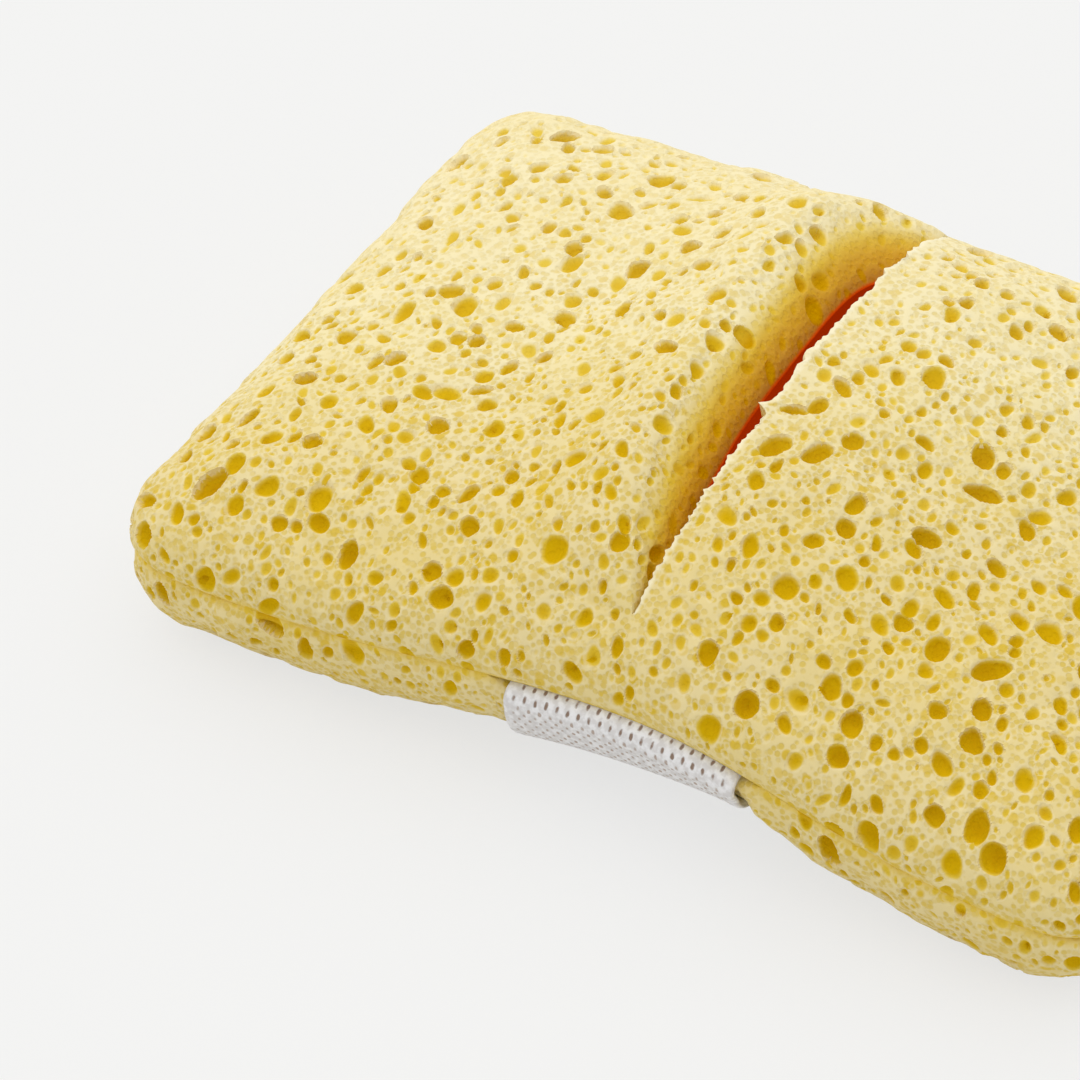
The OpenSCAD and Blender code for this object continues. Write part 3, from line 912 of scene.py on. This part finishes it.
def foam_material():
    """Sponge foam: a froth with pale cell walls, pits that turn from pale to golden with
    their depth and darker as painted shade, painted light and shade from back to front, a
    painted highlight at the pits' rims and the slit's right edge, and in the pocket the
    orange of light that came through the foam, painted as colour and glow."""
    tree = Tree("sponge foam")
    spot = tree.add("TexCoord").outputs["Object"]
    pit = tree.add("Attribute", {"attribute_name": "pit"}).outputs["Vector"]
    cup = tree.add("Attribute", {"attribute_name": "cup"}).outputs["Vector"]
    depth = tree.add("Attribute", {"attribute_name": "depth"}).outputs["Fac"]
    ball = tree.add("SeparateXYZ", i0=pit).outputs[2]
    width, below, tone = tree.add("SeparateXYZ", i0=cup).outputs[:3]
    flat = tree.add("VectorMath", {"operation": "MULTIPLY"}, i0=pit, i1=(1, 1, 0))
    rim = tree.add("VectorMath", {"operation": "LENGTH"}, i0=flat.outputs[0]).outputs["Value"]
    square = tree.math("SUBTRACT", tree.times(ball, ball), tree.times(rim, rim))
    root = tree.math("SQRT", tree.math("MAXIMUM", square, 0.0))
    sunk = tree.math("MAXIMUM", tree.times(tree.math("ADD", root, below), width), 0.0)
    child = tree.math("GREATER_THAN", tone, CHILD_TONE)
    sunk = tree.times(sunk, tree.ramp(rim, 1.0, 0.6, 0.55, 1.0))
    # A pit in another's floor adds its tone to the depth, so it gets more of the same painted
    # shade.
    sunk = tree.math("ADD", sunk, tree.times(child, tree.math("SUBTRACT", tone, 1.2)))
    x, y = tree.add("SeparateXYZ", i0=spot).outputs[:2]
    # Painted light and shade: back is 1 at the back left, where the light falls most, and 0 at the
    # front. It makes the pits paler at the back, the skin paler there and deeper yellow at the
    # front.
    back = tree.ramp(tree.math("SUBTRACT", y, tree.times(x, 0.3)), -0.05, 0.075)
    sunk = tree.times(sunk, tree.math("SUBTRACT", 1.0, tree.times(back, 0.5)))

    def froth(scale, wall, middle):
        """Cells packed side by side, 0 on their walls and 1 inside, and a random number
        for each cell."""
        cell = tree.add("TexVoronoi", Vector=spot, Scale=scale)
        drawn = tree.add("SeparateColor", i0=cell.outputs["Color"]).outputs[0]
        return tree.ramp(cell.outputs["Distance"], wall, middle), drawn

    big, big_drawn = froth(BIG_CELLS, 0.52, 0.30)
    small, small_drawn = froth(SMALL_CELLS, 0.60, 0.34)
    cloud = tree.add("TexNoise", Vector=spot, Scale=CLOUDS, Detail=1.0).outputs["Fac"]
    big = tree.times(big, tree.ramp(big_drawn, 0.35, 1.0, 0.0, 1.0))
    cells = tree.times(small, tree.ramp(small_drawn, 0.0, 1.0, 0.45, 1.0))

    skin = tree.mix(cells, linear(237, 224, 178), linear(218, 194, 108))
    skin = tree.mix(big, skin, linear(218, 186, 66))
    skin = tree.mix(tree.ramp(cloud, 0.35, 0.7), skin, tree.mix(0.25, skin, linear(230, 206, 112)))
    # Painted light: the skin is paler towards the back left.
    skin = tree.mix(tree.times(back, 0.45), skin, linear(248, 239, 210))
    # A thin pale ring just outside each pit's rim: partly the thin pale foam wall round the pit,
    # partly a painted highlight where the rim catches the light.
    edge = tree.times(tree.math("SUBTRACT", rim, 1.0), width)
    skin = tree.mix(tree.times(tree.ramp(edge, 0.45, 0.1), 0.5), skin, linear(245, 233, 190))
    colour = skin
    # The deeper a point lies in a pit, the yellower and darker its colour: partly the foam's light
    # that comes back yellower from deeper in, partly painted shade in the pit.
    for low, high, shade in ((0.0, 0.4, (228, 200, 80)), (0.2, 0.9, (212, 172, 8)),
                             (1.2, 3.2, (196, 148, 0)), (2.6, 4.4, (170, 106, 0))):
        colour = tree.mix(tree.ramp(sunk, low, high), colour, linear(*shade))
    # Painted light at the back, and painted shade: deeper yellow towards the front edge.
    colour = tree.mix(tree.times(back, 0.12), colour, linear(246, 222, 120))
    front = tree.math("SUBTRACT", 0.26, tree.times(back, 0.6), clamp=True)
    colour = tree.mix(front, colour, linear(206, 168, 20))
    # Painted shade down the slit: its walls turn golden and then brown towards the pocket, where
    # less light reaches, and pits in the walls take a deeper gold. The same ramp paints a darker
    # yellow into the seam's crease.
    wall = tree.mix(tree.ramp(depth, 0.2, 0.7), linear(228, 196, 66), linear(212, 158, 2))
    wall = tree.mix(tree.ramp(depth, 0.7, 0.95), wall, linear(184, 120, 0))
    colour = tree.mix(tree.ramp(depth, 0.0, 0.45, 0.0, 0.92), colour, wall)
    wall_pit = tree.times(tree.ramp(sunk, 0.2, 1.2), tree.ramp(depth, 0.1, 0.4))
    colour = tree.mix(wall_pit, colour, linear(200, 150, 0))
    # Painted light: the pocket is the same yellow foam, and its orange-red colour stands for light
    # that came through the foam into the deep shade.
    colour = tree.mix(tree.ramp(depth, 0.93, 1.0), colour, linear(190, 56, 2))
    # Painted highlight: the slit's thin right edge is made pale, where light catches it.
    colour = tree.mix(tree.ramp(depth, -0.15, -0.8, 0.0, 0.7), colour, linear(248, 240, 208))

    height = tree.times(small, -1.0)
    bump = tree.add("Bump", Strength=0.32, Distance=0.0004, Height=height).outputs[0]
    # Painted light: the pocket glows, though no lamp is there.
    glow = tree.ramp(depth, 0.93, 1.0, 0.0, POCKET_GLOW)
    shader = tree.add("BsdfPrincipled", Base_Color=colour, Roughness=1.0, Normal=bump,
                      Specular_IOR_Level=0.0, Emission_Color=linear(205, 72, 2),
                      Emission_Strength=glow)
    return tree.finish(shader.outputs[0])


FOAM_LOOK = foam_material()
for piece in (upper, lower):
    piece.data.materials.append(FOAM_LOOK)
print("foam nodes", len(FOAM_LOOK.node_tree.nodes))

# %% [markdown]
# ## Strap
# The strap follows the same path as the solid one: sewn into the rim, out of the groove,
# round the lower edge and straight across underneath. It is one closed tube of rings.
# Knitted elastic is a net of loops that stand in each other's gaps, so its relief is the
# product of two cosines, one along the knitted rows and one across them.

# %% Strap
STITCH, ROW, RELIEF, STEP = 1.9, 1.12, 0.06, 0.36


def strap_path(x):
    """Inner face of the strap at places x along the mitt: points across and up, evenly
    spaced from one sewn end to the other, and the distance from the front seam."""
    start = STRAP_THICK + CLEAR / 2
    turn = np.radians(np.linspace(0, 90, 16))[:-1]
    edge = np.radians(np.linspace(0, 75, 40))
    inset = np.concatenate([[GROOVE + TUCK], GROOVE * (1 - np.sin(turn)) - CLEAR * np.sin(turn),
                            LOWER_ROUND - (LOWER_ROUND + CLEAR) * np.cos(edge)])
    fall = np.concatenate([[start], start + (LIP - start) * (1 - np.cos(turn)),
                           LIP + (LOWER - LIP + CLEAR) * np.sin(edge)])
    sunk = press(x, -fall[:, None])
    lean = np.append(np.zeros(len(fall) - len(edge)), edge)[:, None]
    inset = inset[:, None] + sunk * np.cos(lean) * (lean > 0)
    fall = fall[:, None] - sunk * np.sin(lean)
    flat = np.stack(np.broadcast_arrays(x, inset - HALF[1], -fall), -1)
    half = bend(flat)[..., 1:]
    across = np.linspace(-SPAN, 0, 12)[:, None] + 0 * x
    level = LEVEL + sunk[-1] * 0.95 + (LOWER - LIP) * nip(x) + 0 * across
    half = np.concatenate([half, np.stack([across, level], -1)])
    path = np.concatenate([half, (half * [-1, 1])[-2::-1]])
    length = np.append(0, np.cumsum(np.linalg.norm(np.diff(path[:, len(x) // 2], axis=0), axis=1)))
    even = np.linspace(0, length[-1], round(length[-1] / STEP) + 1)
    upto = np.clip(np.searchsorted(length, even, side="right"), 1, len(length) - 1)
    share = ((even - length[upto - 1]) / (length[upto] - length[upto - 1]))[:, None, None]
    seam = np.minimum(even, length[-1] - even) - TUCK - GROOVE
    return path[upto - 1] * (1 - share) + path[upto] * share, seam


def knit(x, along):
    """Height of the knit: 1 in a gap between loops, and -1 on the loops beside it."""
    return np.cos(2 * np.pi * x / STITCH) * np.cos(np.pi * along / ROW)


def strap_piece():
    """The strap as a closed tube, with the weave's own coordinates for the material."""
    outer = np.linspace(-STRAP / 2, STRAP / 2, 125)
    inner = np.linspace(STRAP / 2, -STRAP / 2, 32)[1:-1]
    x = np.concatenate([outer, inner]) + STRAP_X
    path, seam = strap_path(x)
    tangent = unit(np.gradient(path, axis=0))
    out = np.stack([tangent[..., 1], -tangent[..., 0]], -1)
    across = np.append(outer, inner)
    on_outer = np.arange(len(x)) < len(outer)
    round_edge = np.sqrt(np.clip(1 - (np.clip(np.abs(across) - STRAP / 2 + 1.0, 0, 1)) ** 2, 0, 1))
    height = np.where(on_outer, 1, -1) * round_edge * STRAP_THICK / 2
    relief = RELIEF * knit(across, seam[:, None]) * round_edge * (seam > -1)[:, None]
    height = STRAP_THICK / 2 + height - np.where(on_outer, relief, 0)
    spots = path + out * height[..., None]
    points = np.concatenate([np.broadcast_to(x, spots.shape[:2])[..., None], spots], -1)
    ids = np.arange(points[..., 0].size).reshape(points.shape[:2])
    flat = points.reshape(-1, 3)
    ends = np.stack([flat[ids[0]].mean(0), flat[ids[-1]].mean(0)])
    caps = [np.stack([np.full(len(x), pole), row, np.roll(row, -1)], -1) for pole, row in
            ((len(flat), ids[0]), (len(flat) + 1, ids[-1][::-1]))]
    faces = np.concatenate([ring_faces(ids), *caps])
    flat = np.concatenate([flat, ends])
    weave = np.stack(np.broadcast_arrays(across, seam[:, None], 0.0), -1).reshape(-1, 3)
    mesh, used = mesh_from("strap_knit", flat, faces)
    put(mesh, "weave", "FLOAT_VECTOR", "POINT", np.concatenate([weave, weave[:2]])[used])
    volume = (flat[faces[:, 0]] * crosses(flat, faces)).sum() / 6
    piece = bpy.data.objects.new("strap_knit", mesh)
    scene.collection.objects.link(piece)
    mesh.shade_smooth()
    print("strap", len(faces), "triangles,", round(volume / 1000, 2), "cm3")
    return piece


strap = strap_piece()


# %% Strap material
def strap_material():
    """White knitted elastic: warm shadow in the gaps between its loops, darkest in the row
    beside the seam."""
    tree = Tree("knitted elastic")
    weave = tree.add("Attribute", {"attribute_name": "weave"}).outputs["Vector"]
    across, along = tree.add("SeparateXYZ", i0=weave).outputs[:2]
    spot = tree.add("TexCoord").outputs["Object"]
    one = tree.math("COSINE", tree.times(across, 2 * math.pi / STITCH))
    two = tree.math("COSINE", tree.times(along, math.pi / ROW))
    net = tree.times(one, two)
    wild = tree.add("TexNoise", Vector=spot, Scale=900.0, Detail=2.0).outputs["Fac"]
    net = tree.math("ADD", net, tree.times(tree.math("SUBTRACT", wild, 0.5), 1.6))
    selvedge = tree.ramp(tree.math("ABSOLUTE", across), STRAP / 2 - 1.2, STRAP / 2 - 2.2)
    gap = tree.times(tree.ramp(net, 0.35, 0.95), selvedge)
    colour = tree.mix(tree.ramp(wild, 0.35, 0.65), linear(216, 213, 211), linear(236, 235, 235))
    shade = tree.mix(tree.ramp(along, 1.0, 0.4), linear(184, 168, 156), linear(140, 118, 102))
    colour = tree.mix(gap, colour, shade)
    lower = tree.math("ADD", tree.times(gap, -1.0), tree.times(wild, 0.35))
    bump = tree.add("Bump", Strength=0.3, Distance=0.0003, Height=lower).outputs[0]
    shader = tree.add("BsdfPrincipled", Base_Color=colour, Roughness=0.85, Normal=bump,
                      Specular_IOR_Level=0.2)
    return tree.finish(shader.outputs[0])


strap.data.materials.append(strap_material())
print("strap size", [round(1000 * v, 1) for v in strap.dimensions])

# %% [markdown]
# ## Fastening
# Each finished piece takes the place of one solid of the frame and rides on the mitt's
# single body.

# %% Fastening
for piece, node in ((upper, "upper_layer"), (lower, "lower_layer")):
    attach(piece, "root")
    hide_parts(node)
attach(strap, "root")
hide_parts("hand_strap")

# %% Finish
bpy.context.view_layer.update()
print("made in", round(time.time() - STARTED, 1), "s")
